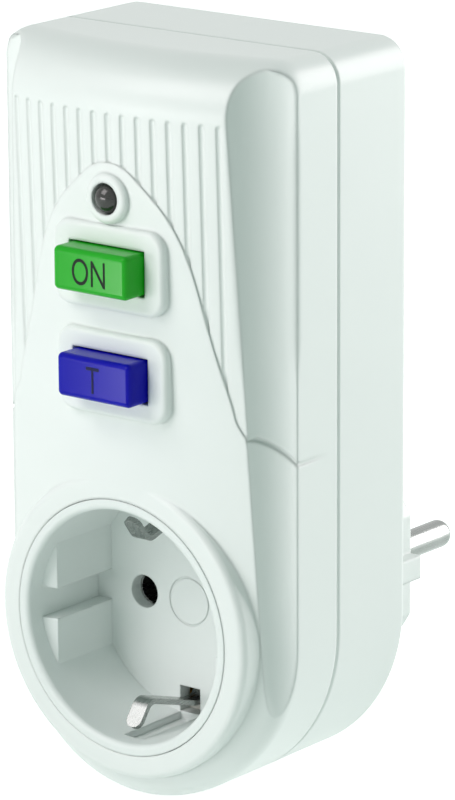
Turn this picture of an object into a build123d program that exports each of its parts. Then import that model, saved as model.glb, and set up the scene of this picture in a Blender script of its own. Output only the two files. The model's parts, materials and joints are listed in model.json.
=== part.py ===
"""Portable residual-current adapter plug: a wall plug with a round earthed socket in front.

Millimetres. The origin is the centre of the plug's engagement face, midway between its
pins. +X is to the right seen from the front, +Y points back into the wall, +Z is up.
Most depths are given as "ahead": the distance in front of the engagement face, along -Y.
"""
from build123d import *
from math import cos, radians, sin, tan
import os

os.makedirs("parts", exist_ok=True)

# Standard plug and socket sizes
pin_pitch = 19.0
pin_radius = 2.4
pin_length = 19.0
pin_root_radius = 2.58
pin_root_stand = 0.5
recess_radius = 19.5
recess_depth = 17.8
flat_half_width = 16.5
socket_hole_radius = 2.8

# Outer body
body_half_width = 29.5
body_corner_radius = 4.8
boss_height = 19.5
housing_depth = 18.3
cover_depth = 19.05
side_depth = 10.6
wall = 2.2

# Fits
clearance = 0.1
running_clearance = 0.15
button_gap = 0.2
overrun = 2.0

# Crowned front face, leaning forward towards the top
flute_margin = 3.9
flute_half_width = body_half_width - flute_margin
crown_drop = 3.4133
crown_radius = flute_half_width**2 / (2 * crown_drop)
face_lean = 1.9
face_setback = 1.0
top_roll_radius = 9.0
panel_stand = 0.28

# Controls on the centre line, each a gap above the one below
test_height = 42.5
button_width = 15.0
button_tall = 7.1
button_stand = 5.5
on_travel = 2.5
test_travel = 1.8
bezel_tall = 13.8
bezel_gap = 3.7
led_ring_radius = 4.1
led_ring_gap = 0.2
on_height = test_height + bezel_tall + bezel_gap
led_height = on_height + bezel_tall / 2 + led_ring_gap + led_ring_radius

# What stands above the upper button inside sets the board's and the body's top
base_tall = 15.0
core_outer = 7.6
winding_wall = 1.3
transformer_gap = 1.6
board_top_gap = 3.6
body_top_gap = 3.8
winding_radius = core_outer + winding_wall
transformer_z = on_height + base_tall / 2 + transformer_gap + winding_radius
board_top = transformer_z + winding_radius + board_top_gap
body_top = board_top + body_top_gap

# Places derived from the sizes above
back_ahead = boss_height
inner_back_ahead = back_ahead + wall
parting_ahead = back_ahead + housing_depth
rim_ahead = parting_ahead + cover_depth
side_edge_ahead = parting_ahead + side_depth
floor_ahead = rim_ahead - recess_depth
pin_places = [(-pin_pitch / 2, 0), (pin_pitch / 2, 0)]


def plane_ahead(ahead):
    """The upright plane at a distance ahead of the engagement face, facing forward."""
    return Plane.XZ.offset(ahead)


def face_ahead(x, z):
    """How far ahead the crowned front face stands at x and z."""
    lean = z * tan(radians(face_lean))
    return rim_ahead - face_setback + lean - x * x / (2 * crown_radius)


def panel_ahead(z):
    """How far ahead the smooth panel stands on the centre line."""
    return face_ahead(0, z) + panel_stand


def columns(start, stop, radius, places, mode=Mode.ADD):
    """Round columns along Y, from one distance ahead to another."""
    with BuildSketch(plane_ahead(start)) as section:
        with Locations(*places):
            Circle(radius)
    extrude(section.sketch, amount=stop - start, mode=mode)


def blocks(start, stop, width, height, places, mode=Mode.ADD, corner=0):
    """Square-ended blocks along Y, from one distance ahead to another."""
    with BuildSketch(plane_ahead(start)) as section:
        with Locations(*places):
            if corner:
                RectangleRounded(width, height, corner)
            else:
                Rectangle(width, height)
    extrude(section.sketch, amount=stop - start, mode=mode)


def body_outline(inset):
    """The body seen from the front, drawn in by inset, with square top corners."""
    half = body_half_width - inset
    top = body_top - inset
    with Locations((0, top / 2)):
        Rectangle(2 * half, top)
    Circle(half)


def rounded_outline(inset):
    """The body seen from the front, drawn in by inset, with round top corners."""
    half = body_half_width - inset
    top = body_top - inset
    with Locations((0, top / 2)):
        corners = Rectangle(2 * half, top)
    fillet(corners.vertices().group_by(Axis.Y)[-1], body_corner_radius - inset)
    Circle(half)


def strip(points, bend, thickness, width, x):
    """A bent metal strip whose centre line runs through (ahead, z) points at one x."""
    with BuildSketch(Plane.YZ.offset(x)) as section:
        with BuildLine() as path:
            FilletPolyline(*[(-ahead, z) for ahead, z in points], radius=bend)
        trace(path.edges(), line_width=thickness)
    extrude(section.sketch, amount=width / 2, both=True)


# Solid blanks of the front cover, outside and inside

lean_dir = (0, -sin(radians(face_lean)), cos(radians(face_lean)))
crown_axis = Plane(
    origin=(0, crown_radius - (rim_ahead - face_setback), 0), x_dir=(1, 0, 0), z_dir=lean_dir
)
crown_start = -2 * body_half_width
crown_length = 2 * body_top + body_half_width
blank_depth = cover_depth + 3 * overrun

def cover_solid(start, inset, crown):
    """The cover as a full solid from start, its outline drawn in, crowned to a radius."""
    with BuildPart() as solid:
        with BuildSketch(plane_ahead(start)):
            body_outline(inset)
        extrude(amount=blank_depth)
        with BuildSketch(crown_axis.offset(crown_start)):
            Circle(crown)
        extrude(amount=crown_length, mode=Mode.INTERSECT)
        top_face = solid.faces().sort_by(Axis.Z)[-1]
        fillet(top_face.edges().sort_by(Axis.Y)[0], top_roll_radius - inset)
        top_corners = solid.edges().filter_by(Axis.Y).group_by(Axis.Z)[-1]
        fillet(top_corners, body_corner_radius - inset)
    return solid.part


cover_blank = cover_solid(parting_ahead, 0, crown_radius)
panel_blank = cover_solid(parting_ahead, 0, crown_radius + panel_stand)
cover_hollow = cover_solid(parting_ahead - overrun, wall, crown_radius - wall)

# Concave flutes down both front corners

flute_taper = 2.61
flute_top_gap = 0.8
flute_top = body_top - flute_top_gap
flute_bottom = -20.0
flute_sag_share = 0.17
flute_end_radius = 3.0


def flute_inner(z):
    """Half width of the front face where the flute starts."""
    return flute_half_width - z * tan(radians(flute_taper))


def flute_section(z):
    """What the flute takes from the right front corner, in plan."""
    inner = Vector(flute_inner(z), -face_ahead(flute_inner(z), z))
    outer = Vector(body_half_width, -side_edge_ahead)
    chord = outer - inner
    sag = chord.rotate(Axis.Z, 90) * flute_sag_share
    front = -(rim_ahead + 2 * overrun)
    side = body_half_width + overrun
    with BuildLine() as plan:
        ThreePointArc(inner, inner + chord / 2 + sag, outer)
        Polyline(outer, (side, -side_edge_ahead), (side, front), (inner.X, front), inner)
    make_face(plan.edges())


def flute_back_section(z):
    """What the flute and its wall take from the cover's hollow, in plan."""
    inner = flute_inner(z) - wall
    middle = inner + (body_half_width - inner) * 2 / 3
    rise = (face_ahead(flute_inner(z), z) - side_edge_ahead) / 2
    front = -(rim_ahead + 2 * overrun)
    side = body_half_width + overrun
    with BuildLine() as plan:
        Polyline(
            (inner, front),
            (inner, -(side_edge_ahead + rise)),
            (middle, -(side_edge_ahead - wall)),
            (side, -(side_edge_ahead - wall)),
            (side, front),
            close=True,
        )
    make_face(plan.edges())


with BuildPart() as flute:
    for height in (flute_bottom, flute_top):
        with BuildSketch(Plane.XY.offset(height)):
            flute_section(height)
    loft(ruled=True)
    flute_end = flute.faces().sort_by(Axis.Z)[-1]
    fillet(flute_end.edges().sort_by(Axis.Y)[-1], flute_end_radius)

with BuildPart() as flute_back:
    for height in (flute_bottom - overrun, body_top + overrun):
        with BuildSketch(Plane.XY.offset(height)):
            flute_back_section(height)
    loft(ruled=True)

# Smooth raised panel under the arch

arch_rise = 5.7
arch_height = led_height + arch_rise
crease_height = 30.4
arch_width_shares = [0, 0.210, 0.346, 0.485, 0.573, 0.658, 0.742, 0.814]
arch_height_shares = [1, 0.962, 0.913, 0.827, 0.723, 0.609, 0.507, 0.4525]
arch_points = [
    (x * body_half_width, z * arch_height)
    for x, z in zip(arch_width_shares, arch_height_shares)
]
arch_foot = (body_half_width + overrun, crease_height)
arch_top_direction = (1, 0)
arch_end_direction = (0.7, -0.9)

with BuildPart() as arch_panel:
    with BuildSketch(plane_ahead(parting_ahead + wall)):
        with BuildLine():
            Spline(*arch_points, tangents=[arch_top_direction, arch_end_direction])
            Polyline(
                arch_points[-1],
                arch_foot,
                (arch_foot[0], -body_half_width - overrun),
                (0, -body_half_width - overrun),
                arch_points[0],
            )
        make_face()
        mirror(about=Plane.YZ)
    extrude(amount=cover_depth)
    add(panel_blank, mode=Mode.INTERSECT)

# Raised bezels round the buttons and the indicator

bezel_width = 22.4
bezel_corner = 3.2
bezel_stand = 1.1
bezel_round = 0.8

with BuildPart() as bezels:
    for height in (on_height, test_height):
        with BuildSketch(plane_ahead(panel_ahead(height) - wall)) as section:
            with Locations((0, height)):
                RectangleRounded(bezel_width, bezel_tall, bezel_corner)
        extrude(section.sketch, amount=wall + bezel_stand)
    columns(
        panel_ahead(led_height) - wall,
        panel_ahead(led_height) + bezel_stand,
        led_ring_radius,
        [(0, led_height)],
    )
    for front in bezels.faces().filter_by(Axis.Y).filter_by(lambda f: f.normal_at().Y < 0):
        fillet(front.edges(), bezel_round)

# Front cover

groove_pitch = 2.93
groove_count = 15
groove_radius = 0.55
groove_centre_stand = 0.24
groove_top_gap = 9.9
groove_top = body_top - groove_top_gap
groove_bottom = 30.0
collar_radius = 25.3
collar_round = 1.2
insert_radius = 21.3
collar_bore = insert_radius + clearance
crease_depth = 0.35
crease_width = 0.6
notch_reach = 7.8
lip_inset = 1.1
lip_length = 1.6
well_wall = 1.3
well_depth = 1.6
screw_inset = 5.5
screw_x = body_half_width - screw_inset
screw_low = 22.0
screw_top_gap = 6.3
screw_high = body_top - screw_top_gap
screw_places = [(x, z) for x in (-screw_x, screw_x) for z in (screw_low, screw_high)]
screw_boss_radius = 3.2
screw_boss_length = 10.4
screw_pilot_radius = 1.5
frame_screw_x = 9.5
frame_screw_places = [
    (x, (on_height + test_height) / 2) for x in (-frame_screw_x, frame_screw_x)
]
frame_ahead = 49.6
frame_boss_radius = 2.4
frame_pilot_radius = 1.05
frame_pilot_depth = 4.0
led_radius = 2.5
led_flange_radius = 2.9
led_sleeve_radius = 4.0
led_length = 8.5
led_stand = 0.9
led_tip_ahead = panel_ahead(led_height) + bezel_stand + led_stand
led_back_ahead = led_tip_ahead - led_length
led_flange_thickness = 1.0
led_seat_ahead = led_back_ahead + led_flange_thickness + clearance
edge_break = 0.35


def well_ahead(height):
    """The seat inside the cover that a button's flange rests against."""
    return panel_ahead(height) - wall - well_depth


with BuildPart() as collar:
    columns(floor_ahead, rim_ahead, collar_radius, [(0, 0)])
    fillet(collar.faces().sort_by(Axis.Y)[0].edges(), collar_round)

# The arch line runs on as a fine crease across each flute and a notch in each side
with BuildPart() as crease:
    with BuildSketch(plane_ahead(parting_ahead)) as section:
        with BuildLine() as line:
            Line(arch_points[-1], (body_half_width, crease_height))
        trace(line.edges(), line_width=crease_width)
    extrude(section.sketch, amount=cover_depth)
    sunk = (-crease_depth, crease_depth, 0)
    add(flute.part.moved(Location(sunk)), mode=Mode.INTERSECT)
    notch_plane = Plane.XY.offset(crease_height)
    with BuildSketch(notch_plane) as section:
        with BuildLine() as line:
            Polyline(
                (body_half_width - crease_depth, -side_edge_ahead),
                (body_half_width + overrun, -side_edge_ahead),
                (body_half_width + overrun, -(side_edge_ahead - notch_reach)),
                (body_half_width, -(side_edge_ahead - notch_reach)),
                close=True,
            )
        make_face(line.edges())
    extrude(section.sketch, amount=crease_width / 2, both=True)

with BuildPart() as front_cover:
    add(cover_blank)
    chamfer(front_cover.faces().sort_by(Axis.Y)[-1].edges(), edge_break)
    for place in range(groove_count):
        x = (place - (groove_count - 1) / 2) * groove_pitch
        foot = (x, -face_ahead(x, 0) - groove_centre_stand, 0)
        groove_plane = Plane(origin=foot, x_dir=(1, 0, 0), z_dir=lean_dir)
        with BuildSketch(groove_plane.offset(groove_bottom)):
            Circle(groove_radius)
        extrude(amount=groove_top - groove_bottom, mode=Mode.SUBTRACT)
        with Locations(groove_plane.offset(groove_top)):
            Sphere(groove_radius, mode=Mode.SUBTRACT)
    add(arch_panel.part)
    add(bezels.part)
    for corner_cut in (flute.part, crease.part):
        add(corner_cut, mode=Mode.SUBTRACT)
        add(corner_cut.mirror(Plane.YZ), mode=Mode.SUBTRACT)
    add(
        cover_hollow - flute_back.part - flute_back.part.mirror(Plane.YZ),
        mode=Mode.SUBTRACT,
    )
    add(collar.part)
    # Wells that guide the buttons and seat their flanges
    for height in (on_height, test_height):
        blocks(
            well_ahead(height),
            panel_ahead(height) - wall / 2,
            button_width + 2 * (button_gap + well_wall),
            button_tall + 2 * (button_gap + well_wall),
            [(0, height)],
        )
    # Sleeve that seats the indicator
    columns(led_seat_ahead, panel_ahead(led_height) - wall / 2, led_sleeve_radius, [(0, led_height)])
    # Bosses for the housing screws and for the screws of the button frame
    columns(parting_ahead, parting_ahead + screw_boss_length, screw_boss_radius, screw_places)
    columns(frame_ahead, panel_ahead(test_height) - wall, frame_boss_radius, frame_screw_places)
    # Openings
    columns(parting_ahead, rim_ahead + overrun, collar_bore, [(0, 0)], mode=Mode.SUBTRACT)
    for height in (on_height, test_height):
        blocks(
            parting_ahead,
            rim_ahead + 4 * overrun,
            button_width + 2 * button_gap,
            button_tall + 2 * button_gap,
            [(0, height)],
            mode=Mode.SUBTRACT,
        )
    columns(
        parting_ahead, rim_ahead + 4 * overrun, led_radius + clearance, [(0, led_height)],
        mode=Mode.SUBTRACT,
    )
    columns(
        parting_ahead, parting_ahead + screw_boss_length - wall, screw_pilot_radius,
        screw_places, mode=Mode.SUBTRACT,
    )
    columns(
        frame_ahead, frame_ahead + frame_pilot_depth, frame_pilot_radius,
        frame_screw_places, mode=Mode.SUBTRACT,
    )
    # Step inside the rear edge that takes the housing's lip
    with BuildSketch(plane_ahead(parting_ahead)):
        rounded_outline(lip_inset)
        offset(amount=lip_inset - wall, mode=Mode.SUBTRACT)
    extrude(amount=lip_length + clearance, mode=Mode.SUBTRACT)

# Rear housing with the plug boss

boss_radius = 18.6
guide_rib_tall = 4.0
boss_face = 3.0
boss_bore_radius = 14.3
housing_round = 1.0
earth_strip_width = 6.0
earth_strip_thickness = 0.8
earth_slot_depth = 2.4
earth_slot_floor = boss_radius - earth_slot_depth
insert_floor = 2.4
insert_back_ahead = floor_ahead - insert_floor
holder_thickness = 5.55
holder_ahead = insert_back_ahead - holder_thickness
housing_post_radius = 4.0
board_thickness = 1.6
board_front = holder_ahead - clearance
board_ahead = board_front - board_thickness
board_side_gap = 0.4
board_drop = 15.0
board_half_width = screw_x - housing_post_radius - board_side_gap
board_bottom = test_height - board_drop
board_screw_inset = 2.7
board_screw_x = board_half_width - board_screw_inset
board_screw_places = [
    (x, z)
    for x in (-board_screw_x, board_screw_x)
    for z in (board_bottom + board_screw_inset, board_top - board_screw_inset)
]
board_post_radius = 2.6
board_pilot_radius = 1.15
holder_post_x = 15.5
holder_post_z = 13.0
holder_post_places = [
    (x, z) for x in (-holder_post_x, holder_post_x) for z in (-holder_post_z, holder_post_z)
]
holder_post_radius = 2.2
screw_head_radius = 2.9
screw_head_length = 1.8
screw_recess = 9.5
screw_shank_radius = 1.45

with BuildPart() as rear_housing:
    with BuildSketch(plane_ahead(back_ahead)):
        rounded_outline(0)
    extrude(amount=housing_depth)
    fillet(rear_housing.faces().sort_by(Axis.Y)[-1].edges(), housing_round)
    chamfer(rear_housing.faces().sort_by(Axis.Y)[0].edges(), edge_break)
    with BuildSketch(plane_ahead(inner_back_ahead)):
        rounded_outline(wall)
    extrude(amount=housing_depth, mode=Mode.SUBTRACT)
    # Plug boss: round, with a flat and a guide rib on each side
    with BuildSketch(plane_ahead(0)):
        Circle(boss_radius)
        Rectangle(2 * flat_half_width, 2 * boss_radius, mode=Mode.INTERSECT)
        Rectangle(2 * boss_radius, guide_rib_tall)
    extrude(amount=inner_back_ahead)
    fillet(rear_housing.faces().sort_by(Axis.Y)[-1].edges(), edge_break)
    columns(boss_face, inner_back_ahead, boss_bore_radius, [(0, 0)], mode=Mode.SUBTRACT)
    columns(-overrun, boss_face, pin_root_radius + clearance, pin_places, mode=Mode.SUBTRACT)
    # Slots for the two earth contacts, open outwards on the boss and closed behind it
    for side in (-1, 1):
        blocks(
            -overrun, boss_height, earth_strip_width + 2 * clearance,
            earth_slot_depth + overrun,
            [(0, side * (earth_slot_floor + boss_radius + overrun) / 2)],
            mode=Mode.SUBTRACT,
        )
        blocks(
            boss_height - clearance, inner_back_ahead, earth_strip_width + 2 * clearance,
            earth_strip_thickness + 2 * clearance,
            [(0, side * (earth_slot_floor + clearance + earth_strip_thickness / 2))],
            mode=Mode.SUBTRACT,
        )
    # Posts for the board, the contact holder and the housing screws
    post_foot = inner_back_ahead - wall / 2
    columns(post_foot, board_ahead, board_post_radius, board_screw_places)
    columns(post_foot, holder_ahead, holder_post_radius, holder_post_places)
    columns(post_foot, parting_ahead, housing_post_radius, screw_places)
    columns(
        board_ahead - frame_pilot_depth, board_ahead, board_pilot_radius,
        board_screw_places, mode=Mode.SUBTRACT,
    )
    columns(
        back_ahead - overrun, back_ahead + screw_recess, screw_head_radius + clearance,
        screw_places, mode=Mode.SUBTRACT,
    )
    columns(
        back_ahead, parting_ahead, screw_shank_radius + clearance, screw_places,
        mode=Mode.SUBTRACT,
    )
    # Lip that locates the cover
    with BuildSketch(plane_ahead(parting_ahead - wall)):
        rounded_outline(lip_inset + clearance)
        offset(amount=lip_inset + clearance - wall, mode=Mode.SUBTRACT)
    extrude(amount=wall + lip_length)

# Socket insert: the round recess that takes a plug

flange_radius = 24.5
guide_slot_half = 2.6
guide_front_gap = 3.2
guide_slope = 0.7
clip_width = 3.0
clip_hole_width = 4.2
clip_hole_inner = 14.75
clip_hole_outer = 19.2
clip_groove_depth = 1.1
clip_groove_length = 14.5
insert_inner_round = 0.9
insert_outer_round = 0.05
bead_stand = 0.1
disc_radius = 3.9
disc_line = 0.3
disc_line_depth = 0.15

# Flat guide blocks on both sides, sloped in front and slotted for a plug's ribs
with BuildPart() as guide_blocks:
    guide_foot = floor_ahead - insert_floor / 2
    guide_front = rim_ahead - guide_front_gap
    columns(guide_foot, guide_front, (recess_radius + insert_radius) / 2, [(0, 0)])
    with BuildSketch(Plane.XY) as section:
        with BuildLine() as line:
            Polyline(
                (flat_half_width, -guide_foot),
                (flat_half_width, -(guide_front - guide_slope)),
                (recess_radius, -guide_front),
                (insert_radius, -guide_front),
                (insert_radius, -guide_foot),
                close=True,
            )
        make_face(line.edges())
        mirror(about=Plane.YZ)
    extrude(amount=recess_radius, both=True, mode=Mode.INTERSECT)
    guide_half = (recess_radius**2 - flat_half_width**2) ** 0.5
    blocks(
        guide_foot, guide_front, 2 * insert_radius, 2 * guide_half + clearance, [(0, 0)],
        mode=Mode.INTERSECT,
    )
    blocks(
        guide_foot, guide_front, 2 * insert_radius, 2 * guide_slot_half, [(0, 0)],
        mode=Mode.SUBTRACT,
    )

with BuildPart() as socket_insert:
    columns(insert_back_ahead, floor_ahead, flange_radius, [(0, 0)])
    columns(floor_ahead - insert_floor / 2, rim_ahead + bead_stand, insert_radius, [(0, 0)])
    columns(floor_ahead, rim_ahead + overrun, recess_radius, [(0, 0)], mode=Mode.SUBTRACT)
    front = socket_insert.faces().sort_by(Axis.Y)[0]
    fillet(front.edges().sort_by(lambda e: e.length)[0], insert_inner_round)
    front = socket_insert.faces().sort_by(Axis.Y)[0]
    fillet(front.edges().sort_by(lambda e: e.length)[-1], insert_outer_round)
    add(guide_blocks.part)
    # Holes for the pins and for the two earth clips, with the clips' grooves in the wall
    columns(
        insert_back_ahead - overrun, floor_ahead + clearance, socket_hole_radius,
        pin_places, mode=Mode.SUBTRACT,
    )
    for side in (-1, 1):
        blocks(
            insert_back_ahead - overrun, floor_ahead + clearance, clip_hole_width,
            clip_hole_outer - clip_hole_inner,
            [(0, side * (clip_hole_inner + clip_hole_outer) / 2)], mode=Mode.SUBTRACT,
        )
        groove_outer = recess_radius + clip_groove_depth
        blocks(
            floor_ahead, floor_ahead + clip_groove_length, clip_hole_width,
            groove_outer - clip_hole_inner,
            [(0, side * (groove_outer + clip_hole_inner) / 2)], mode=Mode.SUBTRACT,
        )
    # Faint ring at the centre of the floor
    with BuildSketch(plane_ahead(floor_ahead - disc_line_depth)):
        Circle(disc_radius + disc_line)
        Circle(disc_radius, mode=Mode.SUBTRACT)
    extrude(amount=disc_line_depth + clearance, mode=Mode.SUBTRACT)

# Buttons

button_round = 0.9
flange_margin = 1.5
flange_thickness = 1.2
stem_radius = 2.0
carrier_front = 46.6
blade_front = 45.4


def push_button(height, stem_end):
    """A button cap with its seating flange and the stem that reaches back."""
    flange_front = well_ahead(height) - clearance
    flange_back = flange_front - flange_thickness
    cap_front = panel_ahead(height) + button_stand
    with BuildPart() as button:
        blocks(
            flange_back, cap_front, button_width, button_tall, [(0, height)],
            corner=button_round,
        )
        fillet(button.faces().sort_by(Axis.Y)[0].edges(), button_round)
        blocks(
            flange_back, flange_front, button_width + 2 * flange_margin,
            button_tall + 2 * flange_margin, [(0, height)], corner=button_round,
        )
        columns(stem_end, flange_front, stem_radius, [(0, height)])
    return button.part


on_button = push_button(on_height, carrier_front + clearance)
test_button = push_button(test_height, blade_front + clearance)

# Button frame: carries the springs and guides the stems

frame_thickness = 1.6
frame_half_width = 13.0
frame_reach_low = 6.0
frame_reach_high = 6.5
frame_bottom = test_height - frame_reach_low
frame_top = on_height + frame_reach_high
frame_corner = 2.0
frame_screw_radius = 1.0
frame_screw_head_radius = 2.1
frame_screw_head_length = 1.3
frame_screw_grip = 3.0

with BuildPart() as button_frame:
    frame_back = frame_ahead - frame_thickness
    blocks(
        frame_back, frame_ahead, 2 * frame_half_width, frame_top - frame_bottom,
        [(0, (frame_top + frame_bottom) / 2)], corner=frame_corner,
    )
    columns(
        frame_back, frame_ahead, stem_radius + running_clearance,
        [(0, on_height), (0, test_height)], mode=Mode.SUBTRACT,
    )
    columns(
        frame_back, frame_ahead, frame_screw_radius + clearance, frame_screw_places,
        mode=Mode.SUBTRACT,
    )

# Return springs of the buttons

spring_wire = 0.3
button_spring_radius = 3.0
button_spring_turns = 3
forward = (0, -1, 0)


def coil(foot, direction, space, radius, turns):
    """A compression spring from a foot point, filling a space along its direction."""
    height = space - spring_wire - clearance
    start = Vector(foot) + Vector(direction) * (spring_wire + clearance) / 2
    with BuildPart() as spring:
        with BuildLine() as path:
            Helix(height / turns, height, radius, center=start, direction=direction)
        with BuildSketch(Plane(path.line @ 0, z_dir=path.line % 0)):
            Circle(spring_wire / 2)
        sweep(path=path.line, is_frenet=True)
    return spring.part


def button_spring(height):
    """The spring between the frame and a button's flange."""
    space = well_ahead(height) - clearance - flange_thickness - frame_ahead
    foot = (0, -frame_ahead, height)
    return coil(foot, forward, space, button_spring_radius, button_spring_turns)


on_button_spring = button_spring(on_height)
test_button_spring = button_spring(test_height)

# Indicator

led_round = 2.4
led_lead_radius = 0.25
led_lead_pitch = 2.54
led_lead_places = [(x, led_height) for x in (-led_lead_pitch / 2, led_lead_pitch / 2)]

with BuildPart() as led:
    columns(led_back_ahead, led_tip_ahead, led_radius, [(0, led_height)])
    fillet(led.faces().sort_by(Axis.Y)[0].edges(), led_round)
    columns(
        led_back_ahead, led_back_ahead + led_flange_thickness, led_flange_radius,
        [(0, led_height)],
    )

with BuildPart() as led_leads:
    columns(board_front, led_back_ahead, led_lead_radius, led_lead_places)

# Plug pins, held behind the boss face by a retainer

pin_tip_round = 1.9
pin_flange_radius = 3.4
pin_flange_thickness = 1.2
pin_inner_end = 16.4
retainer_thickness = 3.0
retainer_ahead = boss_face + pin_flange_thickness


def plug_pin(x):
    """A round pin with a domed tip, a thicker root and a flange behind the boss face."""
    with BuildPart() as pin:
        columns(-pin_length, -pin_root_stand, pin_radius, [(x, 0)])
        fillet(pin.faces().sort_by(Axis.Y)[-1].edges(), pin_tip_round)
        columns(-pin_root_stand, pin_inner_end, pin_root_radius, [(x, 0)])
        columns(boss_face, retainer_ahead, pin_flange_radius, [(x, 0)])
    return pin.part


neutral_pin = plug_pin(-pin_pitch / 2)
line_pin = plug_pin(pin_pitch / 2)

with BuildPart() as pin_retainer:
    retainer_front = retainer_ahead + retainer_thickness
    columns(retainer_ahead, retainer_front, boss_bore_radius - clearance, [(0, 0)])
    columns(
        retainer_ahead, retainer_front, pin_root_radius + clearance, pin_places,
        mode=Mode.SUBTRACT,
    )

# Earth path: contacts on the boss, a strap across the holder, clips in the recess

strap_ahead = 34.5
strap_front = strap_ahead + earth_strip_thickness
strip_z = earth_slot_floor + clearance + earth_strip_thickness / 2
strip_bend = 0.8
contact_back = 0.9
contact_bow = 1.1
contact_ramp = 3.6
clip_thickness = 0.9
clip_bend = 2.0
clip_tip_round = 1.4
clip_foot_z = 12.6
clip_root_z = 17.2
clip_knee_z = 13.6
clip_tip_z = 17.7
clip_knee_rise = 12.0
clip_tip_rise = 15.0
strap_half_length = clip_root_z + clip_thickness


def plug_earth_contact(side):
    """The sprung strip in the boss's slot, running forward to the strap."""
    low = side * strip_z
    high = side * (strip_z + contact_bow)
    points = [
        (contact_back, low),
        (contact_back + contact_ramp, high),
        (boss_height - 2 * contact_ramp + contact_back, high),
        (boss_height - contact_ramp + contact_back, low),
        (strap_ahead, low),
    ]
    with BuildPart() as contact:
        strip(points, strip_bend, earth_strip_thickness, earth_strip_width, 0)
    return contact.part


def socket_earth_clip(side):
    """The bent clip that rises through the recess to meet a plug's earth contact."""
    foot = strap_front + clip_thickness / 2
    points = [
        (foot, side * clip_foot_z),
        (foot, side * clip_root_z),
        (floor_ahead + clearance, side * clip_root_z),
        (floor_ahead + clip_knee_rise, side * clip_knee_z),
        (floor_ahead + clip_tip_rise, side * clip_tip_z),
    ]
    with BuildPart() as clip:
        strip(points, clip_bend, clip_thickness, clip_width, 0)
        tip = clip.faces().sort_by(Axis.Y)[0]
        fillet(tip.edges().sort_by(lambda e: e.length)[:2], clip_tip_round)
    return clip.part


plug_earth_contact_upper = plug_earth_contact(1)
plug_earth_contact_lower = plug_earth_contact(-1)
socket_earth_clip_upper = socket_earth_clip(1)
socket_earth_clip_lower = socket_earth_clip(-1)

with BuildPart() as earth_strap:
    blocks(strap_ahead, strap_front, earth_strip_width, 2 * strap_half_length, [(0, 0)])

# Live socket contacts and their holder

sleeve_radius = 3.3
sleeve_bore = 2.5
sleeve_back = 22.4
sleeve_slit = 0.6
holder_radius = 22.0

with BuildPart() as contact_holder:
    columns(holder_ahead, insert_back_ahead, holder_radius, [(0, 0)])
    columns(
        holder_ahead, insert_back_ahead, sleeve_radius + clearance, pin_places,
        mode=Mode.SUBTRACT,
    )
    blocks(
        strap_ahead, insert_back_ahead, earth_strip_width + 2 * clearance,
        2 * (strap_half_length + clearance), [(0, 0)], mode=Mode.SUBTRACT,
    )
    blocks(
        holder_ahead, strap_ahead, earth_strip_width + 2 * clearance,
        earth_strip_thickness + 2 * clearance, [(0, -strip_z), (0, strip_z)],
        mode=Mode.SUBTRACT,
    )


def socket_contact(x):
    """A slit sleeve that grips a plug's pin."""
    with BuildPart() as contact:
        columns(sleeve_back, insert_back_ahead, sleeve_radius, [(x, 0)])
        columns(sleeve_back, insert_back_ahead, sleeve_bore, [(x, 0)], mode=Mode.SUBTRACT)
        blocks(
            holder_ahead, insert_back_ahead, sleeve_slit, 2 * sleeve_radius,
            [(x, -sleeve_radius)], mode=Mode.SUBTRACT,
        )
    return contact.part


neutral_socket_contact = socket_contact(-pin_pitch / 2)
line_socket_contact = socket_contact(pin_pitch / 2)

# Bus bars between pins, board and socket contacts

bar_width = 2.4
bar_thickness = 0.8
load_bar_lap = 5.5
supply_rise = 9.0
line_riser_ahead = 24.6
neutral_riser_ahead = 22.8
transformer_x = 11.0
transformer_center = (transformer_x, transformer_z)
transformer_depth = 8.8
bar_loop_gap = 0.6
bar_pass_offset = 1.5
bar_return_gap = 0.5
bar_return_z = transformer_z - winding_radius - bar_return_gap
bar_loop_back = board_front + transformer_depth + bar_loop_gap
bar_loop_ahead = bar_loop_back + bar_thickness


def bar(start, stop, bottom, top, x, width=bar_width):
    """One straight leg of a bus bar, between two depths and two heights."""
    blocks(start, stop, width, top - bottom, [(x, (top + bottom) / 2)])


def load_bar(x):
    """The flat bar from a socket contact up to the board."""
    with BuildPart() as load:
        bar(
            board_ahead - bar_thickness, board_ahead, sleeve_radius,
            board_bottom + load_bar_lap, x,
        )
    return load.part


def supply_bar(pin_x, pass_x, riser_ahead):
    """The bar from a pin, up behind the board, through the transformer and back."""
    half = bar_thickness / 2
    riser_front = riser_ahead + bar_thickness
    pass_top = transformer_z + half
    elbow = supply_rise - bar_thickness
    with BuildPart() as supply:
        bar(pin_inner_end, pin_inner_end + bar_thickness, -half, supply_rise, pin_x)
        bar(pin_inner_end, riser_front, elbow, supply_rise, pin_x)
        bar(riser_ahead, riser_front, elbow, pass_top, pin_x)
        bar(
            riser_ahead, riser_front, pass_top - bar_width, pass_top,
            (pass_x + pin_x) / 2, abs(pass_x - pin_x) + bar_width,
        )
        bar(riser_ahead, bar_loop_ahead, pass_top - bar_thickness, pass_top, pass_x)
        bar(bar_loop_back, bar_loop_ahead, bar_return_z - half, pass_top, pass_x)
        bar(board_front, bar_loop_ahead, bar_return_z - half, bar_return_z + half, pass_x)
    return supply.part


neutral_load_bar = load_bar(-pin_pitch / 2)
line_load_bar = load_bar(pin_pitch / 2)
neutral_supply_bar = supply_bar(
    -pin_pitch / 2, transformer_x + bar_pass_offset, neutral_riser_ahead
)
line_supply_bar = supply_bar(
    pin_pitch / 2, transformer_x - bar_pass_offset, line_riser_ahead
)

# Circuit board

board_corner = 2.0
bar_slot_width = 7.2
bar_slot_tall = 4.4

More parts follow.
